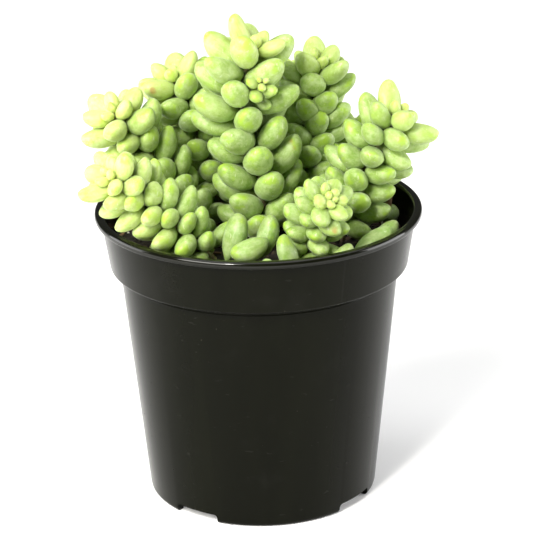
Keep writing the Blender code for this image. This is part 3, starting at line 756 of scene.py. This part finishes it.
def turned_mesh(outline, steps):
    """The surface that an outline of (radius, height) points makes when turned round the pot's axis."""
    bm = bmesh.new()
    corners = [bm.verts.new((radius, 0, height)) for radius, height in outline]
    for one, two in zip(corners, corners[1:]):
        bm.edges.new((one, two))
    bmesh.ops.spin(bm, geom=bm.verts[:] + bm.edges[:], cent=(0, 0, 0), axis=(0, 0, 1),
                   angle=2 * math.pi, steps=steps, use_merge=True)
    bmesh.ops.remove_doubles(bm, verts=bm.verts, dist=0.00001)
    bmesh.ops.recalc_face_normals(bm, faces=bm.faces)
    mesh = bpy.data.meshes.new("turned")
    bm.to_mesh(mesh)
    bm.free()
    return mesh


def notch_cutter():
    """What cuts a drain notch: a block with rounded upper corners."""
    bm = bmesh.new()
    bmesh.ops.create_cube(bm, size=1, matrix=Matrix.Diagonal((0.009, NOTCH_WIDTH, 2 * NOTCH_HEIGHT, 1)))
    upper = [edge for edge in bm.edges if all(vert.co.z > 0 for vert in edge.verts)]
    upper = [edge for edge in upper if abs(edge.verts[0].co.y - edge.verts[1].co.y) < 1e-6]
    bmesh.ops.bevel(bm, geom=upper, offset=0.0012, segments=4, profile=0.5, affect="EDGES")
    return bm


def pot_outline():
    """Half of the pot's section, from the middle of its floor over the lip to the underside's middle."""
    top, step = POT_HEIGHT, COLLAR_FOOT + WALL
    floor = [(0, WALL, 0), (0.0190, WALL, 0.0004), (0.0194, 0.0041, 0.0005), (0.0369, 0.0041, 0.0010)]
    inside = [(0.04495, step, 0.0005), (0.0482, step, 0.0006), (0.0509, top - 0.0010, 0.0003)]
    lip = [(0.0512, top, 0.0007), (LIP_RADIUS, top, 0.0012), (LIP_RADIUS, top - 0.0026, 0.0013),
           (0.0519, top - 0.0025, 0.0003)]
    collar = [(COLLAR_FOOT_RADIUS, COLLAR_FOOT, 0.0008), (NECK_RADIUS, COLLAR_FOOT, 0.0010)]
    ridge = [(0.04592, 0.0782, 0.0002), (NECK_RADIUS, 0.0779, 0.0002), (0.04598, 0.0775, 0.0002)]
    foot = [(FOOT_RADIUS, 0.0, 0.0016), (0.0351, 0.0, 0.0003), (0.0347, 0.0030, 0.0004)]
    hub = [(0.0204, 0.0030, 0.0003), (0.0200, 0.0, 0.0003), (0, 0.0, 0)]
    return rounded(floor + inside + lip + collar + ridge + foot + hub)


def drainage_mesh():
    """What cuts the four notches in the foot and the four holes in the floor."""
    bm = bmesh.new()
    for quarter in range(4):
        turn = Matrix.Rotation(math.radians(FIRST_NOTCH + 90 * quarter), 4, "Z")
        notch = notch_cutter()
        notch.transform(turn @ Matrix.Translation((FOOT_RADIUS - 0.0006, 0, 0)))
        cut = bpy.data.meshes.new("notch")
        notch.to_mesh(cut)
        notch.free()
        bm.from_mesh(cut)
        place = turn @ Matrix.Translation((DRAIN_REACH, 0, 0.003))
        bmesh.ops.create_cone(bm, cap_ends=True, segments=32, radius1=DRAIN_RADIUS, radius2=DRAIN_RADIUS,
                              depth=0.004, matrix=place)
    mesh = bpy.data.meshes.new("drainage")
    bm.to_mesh(mesh)
    bm.free()
    return mesh


def pot_piece():
    """The thin-walled pot: rolled lip, tapered collar, straight body, notched foot and a drained floor."""
    mesh = turned_mesh(pot_outline(), 160)
    for vert in mesh.vertices:
        flow = noise.noise(Vector((vert.co.x * 30, vert.co.y * 30, vert.co.z * 12)))
        warp = 1 + 0.0016 * flow * min(1.0, vert.co.z / 0.02)
        vert.co.x *= warp
        vert.co.y *= warp
    cutter = bpy.data.objects.new("drainage", drainage_mesh())
    bpy.context.scene.collection.objects.link(cutter)
    raw = bpy.data.objects.new("raw_pot", mesh)
    bpy.context.scene.collection.objects.link(raw)
    boolean = raw.modifiers.new("drainage", "BOOLEAN")
    boolean.solver = "EXACT"
    boolean.object = cutter
    bpy.context.view_layer.update()
    cut_mesh = bpy.data.meshes.new_from_object(raw.evaluated_get(bpy.context.evaluated_depsgraph_get()))
    bpy.data.objects.remove(raw, do_unlink=True)
    bpy.data.objects.remove(cutter, do_unlink=True)
    finish_piece("nursery_pot", cut_mesh, plastic_paint(), ["pot"])
    cut_mesh.set_sharp_from_angle(angle=math.radians(38))


def ground_height(x, y):
    """Height of the lumpy soil at a place."""
    lump = noise.fractal(Vector((x * 90, y * 90, 0.3)), 0.7, 2.1, 4)
    crumb = noise.fractal(Vector((x * 420, y * 420, 4.0)), 0.8, 2.2, 4)
    return SOIL_TOP - 0.0016 + 0.0010 * lump + 0.0007 * crumb


def soil_piece():
    """A closed plug of soil: a finely lumped top over plain sides and bottom."""
    around, rings = 150, 62
    points = [(0, 0, ground_height(0, 0))]
    for ring in range(1, rings + 1):
        r = SOIL_RADIUS * ring / rings
        for step in range(around):
            angle = 2 * math.pi * step / around
            x, y = r * math.cos(angle), r * math.sin(angle)
            points.append((x, y, ground_height(x, y)))
    below = [(0.0479, 0.0812), (0.04465, 0.0812), (0.0365, 0.0045), (0.0189, 0.0045), (0.0186, 0.0015)]
    for r, z in below:
        points += [(r * math.cos(2 * math.pi * s / around), r * math.sin(2 * math.pi * s / around), z)
                   for s in range(around)]
    faces = [(0, 1 + s, 1 + (s + 1) % around) for s in range(around)]
    for ring in range(rings + len(below) - 1):
        first = 1 + ring * around
        for s in range(around):
            a, b = first + s, first + (s + 1) % around
            faces.append((a, a + around, b + around, b))
    last = 1 + (rings + len(below) - 1) * around
    faces.append([last + s for s in range(around)][::-1])
    mesh = mesh_from(points, faces, tone=np.zeros(len(points)))
    dark = soil_paint("soil_dark", (0.008, 0.005, 0.003), (0.060, 0.040, 0.026))
    finish_piece("soil_bed", mesh, dark, ["soil"])


def scattered(name, count, seed, surface, size, shape, lift=0.35):
    """Small rough chunks strewn over the soil, joined in one piece."""
    chance = random.Random(seed)
    bm = bmesh.new()
    bmesh.ops.create_icosphere(bm, subdivisions=2, radius=1)
    blank = np.array([vert.co for vert in bm.verts])
    blank_faces = [[vert.index for vert in face.verts] for face in bm.faces]
    bm.free()
    points, faces, tone = [], [], []
    for number in range(count):
        angle = chance.uniform(0, 2 * math.pi)
        r = (SOIL_RADIUS - 0.0014) * math.sqrt(chance.random())
        x, y = r * math.cos(angle), r * math.sin(angle)
        length = chance.uniform(*size)
        scale = np.array([length * s * chance.uniform(0.75, 1.25) for s in shape])
        turn = Matrix.Rotation(chance.uniform(0, 6.28), 3, "Z")
        turn = turn @ Matrix.Rotation(chance.gauss(0, 0.5), 3, "X")
        turn = np.array(turn @ Matrix.Rotation(chance.gauss(0, 0.4), 3, "Y"))
        rough = np.array([1 + 0.45 * noise.noise(Vector(point) * 1.3 + Vector((number * 3.1, 0, 0)))
                          for point in blank])
        chunk = (blank * rough[:, None] * scale) @ turn.T
        chunk += (x, y, ground_height(x, y) + lift * scale[2])
        start = number * len(blank)
        points.append(chunk)
        faces += [[start + corner for corner in face] for face in blank_faces]
        tone.append(np.full(len(blank), chance.random()))
    mesh = mesh_from(np.concatenate(points), faces, tone=np.concatenate(tone))
    finish_piece(name, mesh, surface)


def perlite_piece(number, surface):
    """A light, pitted grain, as large as its stand-in."""
    low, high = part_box(f"perlite_{number}")
    middle = (low + high) / 2
    half = (high - low) / 2
    bm = bmesh.new()
    bmesh.ops.create_icosphere(bm, subdivisions=4, radius=1)
    for vert in bm.verts:
        knob = 1 + 0.22 * noise.noise(vert.co * 1.7 + Vector((number * 5.0, 0, 0)))
        knob += 0.10 * noise.noise(vert.co * 5 + Vector((0, number * 3.0, 0)))
        vert.co = middle + Vector((vert.co.x * half.x, vert.co.y * half.y, vert.co.z * half.z * 0.9)) * knob
    mesh = bpy.data.meshes.new("grain")
    bm.to_mesh(mesh)
    bm.free()
    finish_piece(f"perlite_grain_{number}", mesh, surface, [f"perlite_{number}"])


def plant():
    """Every tail, with its stems, and every fallen leaf."""
    leaves = grow()
    living = leaf_paint("leaf_bloom", (0.51, 0.61, 0.17), (0.275, 0.415, 0.072), (0.60, 0.69, 0.39),
                        (0.36, 0.55, 0.04))
    # Fallen leaves: the living colours a little darker as painted shade where they lie low among the tails,
    # and duller in patches as they wilt.
    shed_shaded = leaf_paint("leaf_fallen_shaded", (0.44, 0.55, 0.15), (0.23, 0.37, 0.08), (0.55, 0.64, 0.38),
                      (0.33, 0.50, 0.04), dull=0.15)
    bark = stem_paint()
    for number, node in enumerate(dict.fromkeys(shoot.node for shoot in SHOOTS)):
        own = [leaf for leaf in leaves if leaf.node == node]
        finish_piece(f"{node}_leaves", leaf_mesh(own, 100 + number), living, [node])
        shoots = [shoot for shoot in SHOOTS if shoot.node == node]
        finish_piece(f"{node}_stem", stem_mesh(shoots), bark)
    for number, leaf in enumerate(leaf for leaf in leaves if leaf.node.startswith("fallen_leaf")):
        finish_piece(f"{leaf.node}_shed", leaf_mesh([leaf], 300 + number), shed_shaded, [leaf.node])


def ground():
    """The soil and everything strewn over it."""
    soil_piece()
    crumb = soil_paint("soil_crumb", (0.010, 0.007, 0.004), (0.085, 0.055, 0.034))
    scattered("soil_crumbs", 900, 11, crumb, (0.0005, 0.0013), (1.0, 0.8, 0.65))
    bark = bark_paint()
    scattered("bark_chips", 90, 12, bark, (0.0010, 0.0026), (1.0, 0.38, 0.22), lift=0.9)
    dry_stalk(bark)
    chalk = perlite_paint()
    scattered("perlite_specks", 70, 13, chalk, (0.0003, 0.0007), (1.0, 0.9, 0.8), lift=0.8)
    for number in range(1, 9):
        perlite_piece(number, chalk)


def floor_plane():
    """The wide, flat floor under the pot."""
    bm = bmesh.new()
    bmesh.ops.create_grid(bm, x_segments=8, y_segments=8, size=4)
    mesh = bpy.data.meshes.new("floor")
    bm.to_mesh(mesh)
    bm.free()
    plane = bpy.data.objects.new("floor", mesh)
    bpy.context.scene.collection.objects.link(plane)
    mesh.materials.append(floor_paint())


def lamp(name, place, target, size, power, colour=(1, 1, 1)):
    """A square soft light of a size in metres and a power in watts."""
    data = bpy.data.lights.new(name, "AREA")
    data.shape = "SQUARE"
    data.size = size
    data.energy = power
    data.color = colour
    made = bpy.data.objects.new(name, data)
    bpy.context.scene.collection.objects.link(made)
    made.location = place
    made.rotation_euler = (Vector(target) - Vector(place)).to_track_quat("-Z", "Y").to_euler()


def studio():
    """A bright white room, darker on the near side, a large key light high on the left, and soft fill."""
    world = bpy.data.worlds.new("white_room")
    bpy.context.scene.world = world
    world.use_nodes = True
    room = Nodes(world.node_tree)
    place = room.node("ShaderNodeTexCoord", {}, {}, "Generated")
    depth = room.node("ShaderNodeSeparateXYZ", {}, {"Vector": place}, "Y")
    reach = {"Value": depth, "From Min": -0.75, "From Max": 0.25, "To Min": 0.56, "To Max": 1.68}
    glow = room.node("ShaderNodeMapRange", {"interpolation_type": "SMOOTHSTEP"}, reach)
    room.tree.links.new(glow.socket, room.tree.nodes["Background"].inputs["Strength"])
    lamp("key", (-0.72, -0.90, 0.92), (0, 0, 0.10), 0.9, 36, (1.0, 0.98, 0.92))
    lamp("glint", (-0.42, -1.00, 1.05), (0, 0, 0.10), 0.11, 10, (1.0, 0.98, 0.94))
    lamp("top", (0.1, 0.2, 1.4), (0, 0, 0.08), 1.4, 12)
    lamp("left_panel", (-0.75, 0.14, 0.20), (0, 0, 0.06), 0.5, 4)
    lamp("right_panel", (0.70, 0.06, 0.20), (0, 0, 0.06), 0.5, 5.5)
    bpy.context.scene.view_settings.view_transform = "Standard"


def camera():
    """Looks down at the pot from the front at about 21 degrees, turned a degree about its own axis."""
    elevation = math.radians(20.73)
    roll = math.radians(-0.97)
    distance = 0.870
    aim = Vector((0.00236, 0, 0.0773))
    data = bpy.data.cameras.new("camera")
    data.sensor_width = 36
    data.lens = 176.8
    made = bpy.data.objects.new("camera", data)
    bpy.context.scene.collection.objects.link(made)
    made.location = aim + distance * Vector((0, -math.cos(elevation), math.sin(elevation)))
    pitch = Matrix.Rotation(math.radians(90) - elevation, 4, "X")
    made.rotation_euler = (pitch @ Matrix.Rotation(roll, 4, "Z")).to_euler()
    bpy.context.scene.camera = made


camera()
pot_piece()
ground()
plant()
floor_plane()
studio()
